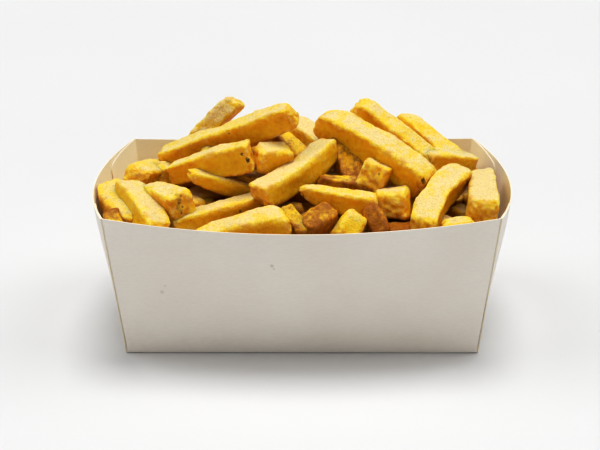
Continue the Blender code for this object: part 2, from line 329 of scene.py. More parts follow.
def add_node(tree, kind, inputs=None, **choices):
    """Adds a node, sets its choices, and fills its inputs with values or links."""
    node = tree.nodes.new("ShaderNode" + kind)
    for name, value in choices.items():
        setattr(node, name, value)
    for socket, value in (inputs or {}).items():
        if isinstance(value, bpy.types.NodeSocket):
            tree.links.new(value, node.inputs[socket])
        else:
            node.inputs[socket].default_value = value
    return node


def maths(tree, operation, *values):
    """A Math node's output."""
    return add_node(tree, "Math", dict(enumerate(values)), operation=operation).outputs[0]


def mix(tree, share, first, second, blend="MIX"):
    """Mixes two colours by a share, and gives the output."""
    colours = {0: share, 6: first, 7: second}
    return add_node(tree, "Mix", colours, data_type="RGBA", blend_type=blend).outputs[2]


def spread(tree, value, low, high, start=0.0, end=1.0):
    """Stretches a value's range from low..high to start..end, with soft ends."""
    inputs = {"Value": value, "From Min": low, "From Max": high, "To Min": start, "To Max": end}
    return add_node(tree, "MapRange", inputs, interpolation_type="SMOOTHSTEP").outputs[0]


def grain(tree, place, scale, detail=2.0, roughness=0.5):
    """A noise value around 0.5, at a scale in features per metre."""
    inputs = {"Vector": place, "Scale": scale, "Detail": detail, "Roughness": roughness}
    return add_node(tree, "TexNoise", inputs).outputs["Fac"]


def own_place(tree):
    """The piece's own coordinates, in metres."""
    return add_node(tree, "TexCoord").outputs["Object"]


def blots(tree, place, spots):
    """A mask of soft round blots: each spot is a point, a radius in metres, and a strength."""
    total = None
    for point, radius, strength in spots:
        away = add_node(tree, "VectorMath", {0: place, 1: point}, operation="DISTANCE").outputs["Value"]
        blot = spread(tree, away, radius * 0.45, radius, strength, 0.0)
        total = blot if total is None else maths(tree, "MAXIMUM", total, blot)
    return total


def shader(material):
    """A material's node tree and its Principled node."""
    material.use_nodes = True
    return material.node_tree, material.node_tree.nodes["Principled BSDF"]


print("node helpers ready")

# %% [markdown]
# ## The finish of the board
#
# The board is uncoated and matt, a slightly warm white, with faint clouds of tone and a fine fibre grain that
# only shows where light grazes it. Its inside is painted lighter and warmer than the outside: painted light,
# for the light that reaches in, and a painted reflection of the glow from the fries. The cut edges are cream.
# Two small grey smudges on the front wall are placed by their pixel: a line of sight is followed until it
# meets the board. The rest is noise on Object coordinates, which needs no unwrapping.

# %% Finish the board
FIBRE_SCALE = 1500
CLOUD_SCALE = 26
SMUDGES = [(272, 266, 1.1, 0.3), (274, 269, 0.7, 0.25), (162, 292, 1.2, 0.22), (165, 286, 0.8, 0.15)]
SMUDGE_TONE = (0.25, 0.24, 0.23)


def seen_points(things, pixel_spots):
    """Turns (pixel x, pixel y, radius in mm, strength) into (point seen, radius in metres, strength)."""
    depsgraph = bpy.context.evaluated_depsgraph_get()
    trees = [BVHTree.FromObject(thing, depsgraph) for thing in things]
    found = []
    for px, py, radius, strength in pixel_spots:
        hits = [tree.ray_cast(Vector(CAMERA_PLACE), sight_line(px, py)) for tree in trees]
        nearest = min((hit for hit in hits if hit[0] is not None), key=lambda hit: hit[3])
        found.append((nearest[0], radius * MM, strength))
    return found


def finish_board(material, light_tone, dark_tone, smudges=()):
    """Matt uncoated board with clouds of tone and a fine fibre grain."""
    tree, surface = shader(material)
    place = own_place(tree)
    clouds = spread(tree, grain(tree, place, CLOUD_SCALE, 4.0), 0.3, 0.7)
    streaks = add_node(tree, "Mapping", {"Vector": place, "Scale": (0.25, 1, 1)}).outputs[0]
    fibres = grain(tree, streaks, FIBRE_SCALE, 3.0, 0.6)
    tone = mix(tree, clouds, (*light_tone, 1), (*dark_tone, 1))
    fibre_tone = (*(part * 0.7 for part in dark_tone), 1)
    tone = mix(tree, spread(tree, fibres, 0.3, 0.7, 0.0, 0.10), tone, fibre_tone)
    if smudges:
        tone = mix(tree, blots(tree, place, smudges), tone, (*SMUDGE_TONE, 1))
    tree.links.new(tone, surface.inputs["Base Color"])
    bump = add_node(tree, "Bump", {"Height": fibres, "Strength": 0.25, "Distance": 0.0001})
    tree.links.new(bump.outputs[0], surface.inputs["Normal"])
    surface.inputs["Roughness"].default_value = 0.8
    surface.inputs["Specular IOR Level"].default_value = 0.3


board_outside, board_cut_edge, board_inside_with_painted_light = carton.data.materials
finish_board(board_outside, (0.89, 0.84, 0.765), (0.86, 0.80, 0.725), seen_points([carton], SMUDGES))
finish_board(board_cut_edge, (0.86, 0.78, 0.62), (0.80, 0.70, 0.52))
# Painted light and reflection: the inside is the same board, made lighter and warmer than the outside.
finish_board(board_inside_with_painted_light, (0.97, 0.94, 0.85), (0.95, 0.91, 0.80))
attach(carton, "root")
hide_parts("carton")
print("board finished, with", len(SMUDGES), "smudges")

# %% [markdown]
# ## The fries that show
#
# Each fry that shows in the photograph has a place of its own, written as the two ends of its middle
# line in millimetres, with x to the right, y to the back and z up. Then come its width, height and
# roll, how its size changes from end to end, and how far it bends up and sways sideways. A physics
# simulation could drop fries into the box, but then none would lie as in the picture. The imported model
# was built from nearly the same list.

# %% List the fries that show
Fry = namedtuple("Fry", "name start end width height roll taper bend sway", defaults=(0, (1, 1), 0, 0))

SHOWN_FRIES = [
    Fry("tip_left", (-54, 27, 72), (-31, 36, 93), 10, 10.5, 58, (1.0, 1.05)),
    Fry("long_left", (-66, 19, 68), (-3, -2, 98.5), 12, 12.5, 9, (1.06, 1.0)),
    Fry("spotted", (-60, -5, 71), (-22, -14, 83), 12, 13.5, 0, (0.75, 1.15)),
    Fry("sliver", (-46, 6, 78), (-26, 2, 78), 7, 6, 10),
    Fry("corner_back", (-77, -6, 69), (-58, 26, 60), 13, 12, 15),
    Fry("corner_inner", (-69, 4, 67), (-42, 22, 61), 12, 11, 5),
    Fry("corner_long", (-81, -10, 67), (-62, -48, 59), 13, 12, -12, (0.95, 1.05), 1),
    Fry("corner_wide", (-89, -3, 62), (-72, -36, 59), 14, 12, 10, (1.1, 0.9)),
    Fry("corner_end", (-84, -32, 62), (-76, -50, 58), 9, 10),
    Fry("stub_spots", (-70, -13, 64), (-51, -35, 66.5), 13.5, 14, 4, (0.85, 1.05)),
    Fry("under_spotted", (-50, -17, 75), (-18, -10, 62), 11, 9, 0, (0.7, 1.1)),
    Fry("shadow_left", (-40, -3, 68), (-14, -9, 66), 11, 11),
    Fry("front_deep", (-57, -36, 57), (-18, -22, 63), 11, 11, -6, (1, 1.1)),
    Fry("front_wedge", (-46, -48, 57), (-5, -45, 63), 13, 13, 8, (0.65, 1.25)),
    Fry("centre_big", (-19, -34, 72), (13, 2, 81), 12, 12, -4, (0.98, 1.0), -3.6),
    Fry("knob", (-20, -14, 81), (-6, -6, 79), 12, 12, 12),
    Fry("brown_back", (-14, 14, 83), (1, 0, 74), 11, 11),
    Fry("pale_back", (-7, 36, 81), (12, 14, 74), 12, 12),
    Fry("long_right", (8, 15, 90), (56, -16, 69), 13, 14, 8, (1, 1.05), 2),
    Fry("behind_1", (25, 28, 93), (60, 10, 69), 11, 12, 10),
    Fry("behind_2", (47, 38, 83), (75, 19, 64), 12, 12, 5, (0.9, 1.1)),
    Fry("right_back", (57, 7, 71), (82, 20, 66), 12, 13, 0, (1.1, 0.7)),
    Fry("right_big", (73, -2, 69.5), (51, -48, 60), 13, 13, -8, (0.95, 1.1), 2, -2.4),
    Fry("right_end", (84, 8, 63.5), (78, -40, 66), 13, 12, 8, (0.9, 1.05), 1),
    Fry("cube_high", (31, -20, 74.5), (36, 16, 65), 14.5, 15.5, 24),
    Fry("cube_low", (39, -35, 67), (45, 0, 58), 15, 14, -6),
    Fry("mid_fry", (0, -28, 71), (33, -32, 65), 11, 12, -2, (0.65, 1.1)),
    Fry("brown_front", (1, -47, 59), (14, -36, 66.5), 12, 11, 14),
    Fry("wedge_front", (17, -51, 58), (24, -41, 65), 10, 9, 38),
    Fry("brown_wedge", (29, -38, 67), (36, -48, 58), 9, 9, 38),
    Fry("small_left", (-7, -38, 68.5), (2, -48, 59), 8, 8, 20),
    Fry("low_right", (34, -45, 57), (56, -36, 56), 10, 10),
    Fry("dark_mid", (16, 11, 83), (24, -12, 64), 12, 12),
    Fry("under_right", (34, -2, 70), (54, -14, 62), 11, 11),
    Fry("ragged_mid", (8, -14, 70), (27, -18, 69), 9, 9),
    Fry("crumb_right", (60, -48, 62), (74, -43, 62), 9, 8),
]
HIDDEN_FRIES = [
    Fry("back_left", (-62, 32, 59), (-12, 36, 75), 13, 13),
    Fry("back_middle", (16, 22, 82), (62, 32, 66), 13, 13),
    Fry("back_right", (30, 44, 68), (82, 30, 60), 13, 13),
]
print(len(SHOWN_FRIES), "fries show,", len(HIDDEN_FRIES), "more carry them at the back")

# %% [markdown]
# ## The fries behind and between
#
# The rest of the heap can't be seen in the photograph, but the object can be seen from all sides. A rule lays
# these fries: it tries many random places, keeps those that stay inside the carton, under the heap's rounded
# top and out of the way of the fries that show, and takes the one with the most room. The seed is fixed, so
# the heap is the same each time.

# %% Lay the fries that nobody sees from the front
CORE_DEPTH = 25
CORE_LOWEST = 40
CROWN_EDGE = 64
CROWN_RISE = 24
CROWN_HALF_LENGTH = 95
CROWN_PEAK_BACK = 16
CROWN_FRONT_RUN = 68
CROWN_BACK_RUN = 60
CEILING_HEIGHT = 86
CEILING_PEAK = (8, 30)
CEILING_HALF_LENGTH = 75
CEILING_FALL = 22
CEILING_SLOPE = 0.36
FRY_CLEARANCE = 2 * BOARD + 0.7 * MM
SEED = 7
LAYER_HEIGHTS = (2, 8, 15)
LAYER_COUNT = 32
PLACES_TRIED = 300
FILLER_ACROSS = (-84, 84)
FILLER_BACK = (-50, 54)
FILLER_LENGTH = (24, 62)
FILLER_THICKNESS = (10, 12.5)
FILLER_ROLL = 12
FILLER_TAPER = ((0.85, 1.05), (0.85, 1.1))
FILLER_BEND = (0, 2)
HEIGHT_SPREAD = 2.5
MAX_SLOPE = 0.45
CLOSENESS = 0.27
SIGHT_PITCH = math.radians(24)
SAMPLES = 10


def crown(x, y):
    """Height of the rounded surface that the fries lie up to, in millimetres."""
    run = CROWN_BACK_RUN if y > CROWN_PEAK_BACK else CROWN_FRONT_RUN
    across = 1 - min(1, abs(x) / CROWN_HALF_LENGTH) ** 2
    back = 1 - min(1, abs(y - CROWN_PEAK_BACK) / run) ** 2
    return CROWN_EDGE + CROWN_RISE * across * back


def ceiling(x, y):
    """Height that a fry behind stays below, so that it doesn't show over the front ones."""
    across = (x - CEILING_PEAK[0]) / CEILING_HALF_LENGTH
    return CEILING_HEIGHT - CEILING_FALL * across**2 - CEILING_SLOPE * (y - CEILING_PEAK[1])


def heap_top(x, y):
    """Height that the heap reaches at a place, in millimetres."""
    return min(crown(x, y), ceiling(x, y))


def core_top(x, y):
    """Height of the filling's top, in millimetres."""
    return max(CORE_LOWEST, heap_top(x, y) - CORE_DEPTH)


def keep_inside(points, clearance=FRY_CLEARANCE):
    """Moves points that would reach the carton's wall back to just inside it. Points are rows, in metres."""
    up = np.clip(points[:, 2] / WALL_HEIGHT, 0, 1)
    lean = np.sin(math.pi / 2 * up)
    half_length = half_size(BASE_LENGTH, RIM_LENGTH, up)
    half_depth = half_size(BASE_DEPTH, RIM_DEPTH, up)
    across = np.minimum(1, np.abs(points[:, 0]) / half_length)
    back = np.minimum(1, np.abs(points[:, 1]) / half_depth)
    reach_x = half_length + END_BOW * (1 - back**2) * lean - clearance
    reach_y = half_depth + WALL_BOW * (1 - across**2) * lean - clearance
    held_x = np.clip(points[:, 0], -reach_x, reach_x)
    held_y = np.clip(points[:, 1], -reach_y, reach_y)
    return np.column_stack((held_x, held_y, points[:, 2]))


def middle_line(fry):
    """Points along a fry's middle line."""
    shares = np.linspace(0, 1, SAMPLES)[:, None]
    return np.array(fry.start) * (1 - shares) + np.array(fry.end) * shares


def steps_between(fry, others):
    """The way from each point of a fry's middle line to each point of the others' lines."""
    lines = np.array([middle_line(other) for other in others])
    return lines[:, None] - middle_line(fry)[None, :, None]


def hides_some(fry):
    """Whether a fry hides some of those that show from a viewer in front and above."""
    sight = np.array((0, math.cos(SIGHT_PITCH), -math.sin(SIGHT_PITCH)))
    steps = steps_between(fry, SHOWN_FRIES)
    ahead = steps @ sight
    aside = np.linalg.norm(steps - ahead[..., None] * sight, axis=3)
    reach = np.array([(fry.width + shown.width) / 2 for shown in SHOWN_FRIES])
    return bool(((ahead > 0) & (aside < reach[:, None, None])).any())


def random_fry(draw, name, layer):
    """A fry of random size, place and heading, a layer's height above the filling at both ends."""
    middle = np.array((draw.uniform(*FILLER_ACROSS), draw.uniform(*FILLER_BACK)))
    heading = draw.uniform(0, math.pi)
    half_run = np.array((math.cos(heading), math.sin(heading))) * draw.uniform(*FILLER_LENGTH) / 2
    thickness = draw.uniform(*FILLER_THICKNESS)
    tips = []
    for x, y in (middle - half_run, middle + half_run):
        tips.append((x, y, core_top(x, y) + layer + draw.uniform(-HEIGHT_SPREAD, HEIGHT_SPREAD)))
    roll = draw.uniform(-FILLER_ROLL, FILLER_ROLL)
    taper = tuple(draw.uniform(*limits) for limits in FILLER_TAPER)
    return Fry(name, *tips, thickness, thickness * 0.95, roll, taper, draw.uniform(*FILLER_BEND))


def fits(fry):
    """Whether a fry lies inside the carton and the heap's upper limit, and hides none of those that show."""
    tips = np.array((fry.start, fry.end)) * MM
    if np.abs(keep_inside(tips) - tips).max() > 0:
        return False
    for x, y, z in (fry.start, fry.end):
        if z + fry.height / 2 > heap_top(x, y):
            return False
    if abs(fry.end[2] - fry.start[2]) > MAX_SLOPE * math.dist(fry.start[:2], fry.end[:2]):
        return False
    return not hides_some(fry)


def openness(fry, others):
    """How far a fry is from its nearest neighbour, beyond what two fries may press into each other."""
    gaps = np.linalg.norm(steps_between(fry, others), axis=3).min(axis=(1, 2))
    return (gaps - CLOSENESS * np.array([fry.width + other.width for other in others])).min()


def laid_fries():
    """The fries of all layers: each takes the most open of many random places."""
    draw = random.Random(SEED)
    laid = []
    for layer in LAYER_HEIGHTS:
        for number in range(LAYER_COUNT):
            tried = [random_fry(draw, f"laid_{layer}_{number}", layer) for _ in range(PLACES_TRIED)]
            fitting = [fry for fry in tried if fits(fry)]
            if not fitting:
                continue
            others = SHOWN_FRIES + HIDDEN_FRIES + laid
            best = max(fitting, key=lambda fry: openness(fry, others))
            if openness(best, others) > 0:
                laid.append(best)
    return laid


LAID_FRIES = laid_fries()
print(len(LAID_FRIES), "fries laid by the rule")

# %% [markdown]
# ## Lumps
#
# No side of a real fry is flat: it sags between its edges, blisters and shrinks. Noise gives that
# unevenness. Blender's Displace modifier could do it, but it needs a texture and applies one size at a
# time. A small noise of our own works on all points at once: random values sit on a lattice, and a
# point blends the eight around it.

# %% Make lumps from a lattice of random values
LATTICE = np.random.RandomState(5).uniform(-1, 1, 8192)
LATTICE_STEPS = np.array((1619, 31337, 6971))


def lumps(points, size, number):
    """Smooth noise from -1 to 1 at each point: size is a lump's width, and number picks another pattern."""
    cells = points / size + number * 7.31
    corner = np.floor(cells).astype(np.int64)
    share = cells - corner
    share = share * share * (3 - 2 * share)
    total = np.zeros(len(points))
    for step in np.ndindex(2, 2, 2):
        weight = np.prod(np.where(step, share, 1 - share), axis=1)
        total += weight * LATTICE[((corner + step) @ LATTICE_STEPS) % len(LATTICE)]
    return total


print("lumps at three points:", lumps(np.array([(0, 0, 0), (1, 2, 3), (4, 4, 4)], float), 2.5, 1).round(2))

# %% [markdown]
# ## One fry
#
# A fry starts as a cube, stretched to its size and cut into a fine grid with subdivide, because every
# point of the grid can then be moved. Its edges and corners are rounded by drawing each point towards
# the box inside it. Then it is roughened, cut slantwise at the ends, tapered, bent and turned to its
# place, and points that would reach through the board are pressed back. What each point knows about
# itself, such as how far it faces up, or how near the cut end it is, is stored as attributes, from
# which the finish takes its colours.

# %% Shape one fry
FINE_GRAIN = 0.7
COARSE_GRAIN = 1.2
END_RADIUS = (2.0, 3.6)
LONG_RADIUS = (2.0, 3.2)
BROAD_LUMPS = (11.0, 0.75)
MIDDLE_LUMPS = (3.6, 0.28)
SMALL_LUMPS = (1.5, 0.17)
BLISTERS = (2.4, 0.42, 1.0)
FLAT_BLISTERS = 0.35
END_CRUMBLE = (2.0, 0.7)
END_RUN = 3.5
EDGE_BAND = (0.55, 0.9)
END_EDGE_BAND = (0.6, 0.9)
NARROWING = (0.0, 0.25)
NARROWING_RUN = 9.0
SLANT = 0.22
SHEAR = 0.14
TWIST = 9
SIDE_BOW = 1.2
HOLLOW = 0.8
HOLLOW_SPREAD = (0.2, 1)
PLAIN_TONES = (-0.15, 0.3)
SHADE_START = 9
SHADE_RUN = 14

# How browned a fry is, from -1 for pale to 1 for dark, where the photograph shows it apart from its
# neighbours: partly its own tone, partly painted light, with fries in shadow made darker as painted shade and
# some that the lamps leave in shade made paler.
TONES_WITH_PAINTED_LIGHT = {
    "brown_front": 0.76, "brown_wedge": 0.82, "corner_end": 0.7, "brown_back": 0.5, "dark_mid": 0.65,
    "under_right": 0.55, "ragged_mid": 0.6, "shadow_left": 0.5, "wedge_front": 0.15, "small_left": 0.55,
    "knob": -0.1, "stub_spots": 0.05, "right_end": -0.6, "long_left": 0.0, "centre_big": -0.4,
    "long_right": -0.15, "right_big": -0.15, "corner_long": -0.2, "tip_left": -1.0, "low_right": 1.0,
    "pale_back": -0.8, "right_back": -0.2, "behind_2": 0.15, "corner_wide": 0.25, "corner_back": 0.2,
    "corner_inner": 0.3, "cube_high": 0.1, "cube_low": -0.1, "spotted": -0.1,
}

# How much narrower the two tips of a fry are than its middle, where the photograph shows it
TIPS = {
    "tip_left": (0.1, 0.2), "long_left": (0.0, 0.25), "spotted": (0.05, 0.05), "stub_spots": (0.2, 0.1),
    "long_right": (0.35, 0.12), "centre_big": (0.05, 0.2), "right_big": (0.2, 0.05), "mid_fry": (0.4, 0.1),
    "behind_1": (0.3, 0.1), "behind_2": (0.4, 0.1), "front_wedge": (0.2, 0.3), "right_end": (0.35, 0.1),
    "cube_low": (0.1, 0.1), "cube_high": (0.1, 0.1), "corner_long": (0.2, 0.1), "brown_front": (0.2, 0.3),
}


def gridded_bar(length, width, height, grain_size):
    """A bar along X, with a grid on all six sides, as a mesh."""
    form = bmesh.new()
    bmesh.ops.create_cube(form, size=1)
    bmesh.ops.scale(form, vec=(length, width, height), verts=form.verts)
    for axis, size in enumerate((length, width, height)):
        along = [edge for edge in form.edges if abs((edge.verts[0].co - edge.verts[1].co)[axis]) > size / 2]
        cuts = max(2, round(size / grain_size) - 1)
        bmesh.ops.subdivide_edges(form, edges=along, cuts=cuts, use_grid_fill=True)
    mesh = bpy.data.meshes.new("fry")
    form.to_mesh(mesh)
    form.free()
    return mesh


def fry_turn(fry):
    """The turn that takes a fry from lying along X to its own direction and roll."""
    along = (Vector(fry.end) - Vector(fry.start)).normalized()
    side = Vector((0, 0, 1)).cross(along).normalized()
    turn = Matrix((along, side, along.cross(side))).transposed()
    return np.array(turn @ Matrix.Rotation(math.radians(fry.roll), 3, "X"))


def read_points(mesh):
    """A mesh's points as rows."""
    points = np.empty(len(mesh.vertices) * 3, np.float32)
    mesh.vertices.foreach_get("co", points)
    return points.reshape(-1, 3).astype(float)


def move_points(mesh, points):
    """Puts a mesh's points where the rows say."""
    mesh.vertices.foreach_set("co", points.astype(np.float32).ravel())
    mesh.update()


def facing_up(mesh):
    """How far each point of a mesh faces up, from -1 to 1."""
    normals = np.empty(len(mesh.vertices) * 3, np.float32)
    mesh.vertex_normals.foreach_get("vector", normals)
    return normals.reshape(-1, 3)[:, 2]


def note(mesh, **notes):
    """Stores named numbers in the points of a mesh: one for each point, or the same for all."""
    for name, values in notes.items():
        layer = mesh.attributes.new(name, "FLOAT", "POINT")
        layer.data.foreach_set("value", np.full(len(mesh.vertices), values, np.float32))


def rise_in(values, band):
    """How far each value has come through a band, from 0 to 1."""
    return np.clip((values - band[0]) / (band[1] - band[0]), 0, 1)


def depth_in_heap(points):
    """The painted shade of each point, by how deep it lies in the heap: 0 near the top, 1 far down between
    the fries.
    """
    below = np.vectorize(heap_top)(points[:, 0], points[:, 1]) - points[:, 2]
    return np.clip((below - SHADE_START) / SHADE_RUN, 0, 1)


def shape_fry(fry, number, grain_size):
    """One uneven fry in its place, with its attributes."""
    draw = random.Random(100 + number)
    length = math.dist(fry.start, fry.end)
    mesh = gridded_bar(length, fry.width, fry.height, grain_size)
    points = read_points(mesh)
    half = np.array((length, fry.width, fry.height)) / 2
    radius = np.array((draw.uniform(*END_RADIUS), *(draw.uniform(*LONG_RADIUS) for _ in range(2))))
    kernel = np.clip(points, radius - half, half - radius)
    out = (points - kernel) / radius
    out /= np.linalg.norm(out, axis=1)[:, None]
    points = kernel + out * radius

    share = points[:, 0] / length + 0.5
    nearness = np.clip(1 - (half[0] - np.abs(points[:, 0])) / END_RUN, 0, 1)
    relative = np.abs(points[:, 1:]) / half[1:]
    edge = rise_in(relative.min(axis=1), EDGE_BAND)
    edge = np.maximum(edge, nearness * rise_in(relative.max(axis=1), END_EDGE_BAND))
    sag = HOLLOW * (1 - relative.min(axis=1) ** 2) * (1 - nearness)
    relief = lumps(points, MIDDLE_LUMPS[0], number + 50) * MIDDLE_LUMPS[1]
    relief += lumps(points, SMALL_LUMPS[0], number + 90) * SMALL_LUMPS[1]
    blister = np.clip(lumps(points, BLISTERS[0], number + 130) - BLISTERS[1], 0, 1) * BLISTERS[2]
    relief += blister * (FLAT_BLISTERS + (1 - FLAT_BLISTERS) * np.maximum(edge, nearness))
    relief += lumps(points, END_CRUMBLE[0], number + 170) * END_CRUMBLE[1] * nearness
    broad = lumps(points, BROAD_LUMPS[0], number) * BROAD_LUMPS[1]
    rise = relief + broad - sag * draw.uniform(*HOLLOW_SPREAD)
    points += out * rise[:, None]

    lean, twist, bow = (draw.uniform(-1, 1) for _ in range(3))
    points[:, 1] += lean * SHEAR * points[:, 2]
    turned = np.radians(twist * TWIST) * (2 * share - 1)
    across, upward = points[:, 1].copy(), points[:, 2].copy()
    points[:, 1] = across * np.cos(turned) - upward * np.sin(turned)
    points[:, 2] = across * np.sin(turned) + upward * np.cos(turned)
    points[:, 1] += (fry.sway or bow * SIDE_BOW) * (1 - (2 * share - 1) ** 2)
    slants = [draw.uniform(-SLANT, SLANT) for _ in range(4)]
    for tip in (0, 1):
        pull = np.clip((share if tip else 1 - share) * 2 - 1, 0, 1)
        points[:, 0] += pull * (slants[tip] * points[:, 1] + slants[tip + 2] * points[:, 2])
    swell = fry.taper[0] + (fry.taper[1] - fry.taper[0]) * share
    for tip in (0, 1):
        from_tip = (1 - share if tip else share) * length
        narrower = TIPS[fry.name][tip] if fry.name in TIPS else draw.uniform(*NARROWING)
        swell = swell * (1 - narrower * np.clip(1 - from_tip / NARROWING_RUN, 0, 1) ** 2)
    points[:, 1] *= swell
    points[:, 2] = points[:, 2] * swell + fry.bend * (1 - (2 * share - 1) ** 2)

    middle = (np.array(fry.start) + np.array(fry.end)) / 2
    points = keep_inside((points @ fry_turn(fry).T + middle) * MM)
    move_points(mesh, points)
    # facing_up carries the painted top light of the finish; relief also paints bump tops paler and hollows
    # darker, partly as painted shade.
    note(mesh, facing_up=facing_up(mesh), near_end=nearness, near_edge=edge, relief=relief)
    # Painted light and shade: depth darkens points deep in the heap, and brownness is partly a fry's own
    # tone, partly painted light and shade.
    note(mesh, brownness=TONES_WITH_PAINTED_LIGHT.get(fry.name, draw.uniform(*PLAIN_TONES)), depth=depth_in_heap(points / MM))
    mesh.shade_smooth()
    return mesh


trial = shape_fry(SHOWN_FRIES[0], 0, FINE_GRAIN)
print("one fry:", len(trial.vertices), "points,", len(trial.polygons), "faces")
bpy.data.meshes.remove(trial)

# %% [markdown]
# ## All the fries
#
# So many separate objects would be slow to handle and to export, so neighbouring fries are joined into
# a few pieces. Joining keeps each fry's own points and attributes. The fries at the front get the
# finest grid.

# %% Shape all fries and join them into pieces
LEFT_EDGE = -22
RIGHT_EDGE = 24


def piece_of(fry):
    """The name of the piece that a fry belongs to."""
    if fry.name not in shown_names:
        return "fries_below_and_behind"
    across = (fry.start[0] + fry.end[0]) / 2
    if across < LEFT_EDGE:
        return "fries_left"
    return "fries_right" if across > RIGHT_EDGE else "fries_middle"


def join(things):
    """Joins objects into the first one."""
    with bpy.context.temp_override(active_object=things[0], selected_editable_objects=things):
        bpy.ops.object.join()
    return things[0]


shown_names = {fry.name for fry in SHOWN_FRIES}
groups = {}
for number, fry in enumerate(SHOWN_FRIES + HIDDEN_FRIES + LAID_FRIES):
    mesh = shape_fry(fry, number, FINE_GRAIN if fry.name in shown_names else COARSE_GRAIN)
    thing = bpy.data.objects.new(fry.name, mesh)
    bpy.context.scene.collection.objects.link(thing)
    groups.setdefault(piece_of(fry), []).append(thing)
fry_pieces = []
for name, things in groups.items():
    piece = join(things)
    piece.name = name
    piece.data.name = name
    fry_pieces.append(piece)
    triangles = sum(len(face.vertices) - 2 for face in piece.data.polygons)
    print(name, len(things), "fries,", triangles, "triangles")

# %% [markdown]
# ## The filling under them
#
# Between the fries one looks into dark gaps, where more fries lie. They could all be modelled, but nobody
# would see them. A lumpy mound in the same finish fills the carton below instead, painted dark all over as
# painted shade, and real shade does the rest. It starts as a grid, is raised to the height that the laid
# fries rest on, and its border is extruded down along the walls.

# %% Model the filling
CORE_INSET = 2 * BOARD + 0.9 * MM
CORE_STEPS = (110, 70)
CORE_LUMPS = ((9.0, 1.6), (4.0, 0.6))
CORE_PATTERN = 300
CORE_SHADE_TONE = 0.95
CORE_FLOOR = BOARD + 0.4 * MM
CORE_TOP_LEVEL = 0.55
SKIRT_LEVELS = (0.45, 0.3, 0.15, 0.02)


def core_wall(across, back, up):
    """A point of the filling beside the carton's wall, or inside it, at a share of the wall's height."""
    lean = math.sin(math.pi / 2 * up)
    x = across * (half_size(BASE_LENGTH, RIM_LENGTH, up) + END_BOW * (1 - back**2) * lean - CORE_INSET)
    y = back * (half_size(BASE_DEPTH, RIM_DEPTH, up) + WALL_BOW * (1 - across**2) * lean - CORE_INSET)
    return Vector((x, y, max(up * WALL_HEIGHT, CORE_FLOOR)))


filling = bmesh.new()
bmesh.ops.create_grid(filling, x_segments=CORE_STEPS[0], y_segments=CORE_STEPS[1], size=1)
core_across = filling.verts.layers.float.new("core_across")
core_back = filling.verts.layers.float.new("core_back")
for vert in filling.verts:
    vert[core_across] = vert.co.x
    vert[core_back] = vert.co.y
    vert.co = core_wall(vert[core_across], vert[core_back], CORE_TOP_LEVEL)
    vert.co.z = core_top(vert.co.x / MM, vert.co.y / MM) * MM
for up in SKIRT_LEVELS:
    rim = [edge for edge in filling.edges if edge.is_boundary]
    grown = bmesh.ops.extrude_edge_only(filling, edges=rim)["geom"]
    for vert in (part for part in grown if isinstance(part, bmesh.types.BMVert)):
        vert.co = core_wall(vert[core_across], vert[core_back], up)
bmesh.ops.holes_fill(filling, edges=[edge for edge in filling.edges if edge.is_boundary], sides=0)
bmesh.ops.recalc_face_normals(filling, faces=filling.faces)
core = put(filling, "filling_under_fries")
points = read_points(core.data) / MM
upward = facing_up(core.data)
patterns = enumerate(CORE_LUMPS, CORE_PATTERN)
rise = sum(lumps(points, size, pattern) * height for pattern, (size, height) in patterns)
points[:, 2] += rise * np.clip(upward, 0, 1)
move_points(core.data, points * MM)
# The filling gets full painted shade and a dark tone, so that it looks like fries lying in shadow.
note(core.data, facing_up=upward, near_end=0, near_edge=0, relief=rise * 0.3, brownness=CORE_SHADE_TONE, depth=1)
print("filling:", len(core.data.vertices), "points")

# %% [markdown]
# ## The finish of the fries
#
# The crust is painted cream where it faces up and golden on its flanks, which is painted light: the tops
# stand for crust lit from above and the flanks for crust in shade. Edges and cut ends are toasted, a few eyes
# of the potato are nearly black, and the whole is slightly translucent, which subsurface scattering gives.
# Painting all this by hand is possible, but the attributes stored in each point already say where it belongs,
# so a colour ramp and some noise can place it by rule.

# %% Finish the fries
PATCH_SCALE = 150
MOTTLE_SCALE = 560
FINE_SCALE = 1500
FLECK_SCALE = 420
EYES = [
    # pixel x, pixel y, radius in millimetres, strength
    (177, 194, 1.6, 0.35), (179.5, 199, 1.5, 0.45), (178, 207, 1.5, 0.45), (181, 211, 1.4, 0.4),
    (242, 154, 1.0, 0.9), (248, 160, 1.4, 1.0), (249, 152, 0.8, 0.8), (237, 144, 0.9, 0.7),
    (234, 126, 0.7, 0.5), (229, 133.5, 0.7, 0.6), (423.4, 180, 1.3, 0.9), (423.8, 182.5, 0.9, 0.7),
    (379, 174.5, 0.8, 0.9), (303.3, 195.7, 0.9, 0.8), (180.4, 196.5, 0.8, 0.6), (179, 203, 0.9, 0.7),
    (182, 207, 0.7, 0.7), (181.3, 213, 0.8, 0.8), (172, 193, 0.7, 0.6), (240.5, 211, 0.8, 0.7),
]
# From flank to top: the crust's own gold and cream, with the change from shaded flank to lit top as painted
# light.
CRUST_RAMP_WITH_PAINTED_LIGHT = [
    (0.00, (0.66, 0.23, 0.003)),
    (0.38, (0.89, 0.46, 0.006)),
    (0.64, (0.95, 0.60, 0.012)),
    (0.80, (0.93, 0.66, 0.050)),
    (0.91, (0.90, 0.69, 0.175)),
    (1.00, (0.85, 0.69, 0.345)),
]
TOAST = (0.70, 0.32, 0.012)
FROTH = (0.92, 0.76, 0.30)
PIT = (0.80, 0.44, 0.012)
GRIT = (0.72, 0.62, 0.42)
BROWNED_AND_SHADED = (0.42, 0.23, 0.05)
SPECK = (0.35, 0.12, 0.02)
EYE = (0.11, 0.032, 0.008)


def attribute(tree, name):
    """A number that the points of a mesh store."""
    return add_node(tree, "Attribute", attribute_name=name).outputs["Fac"]


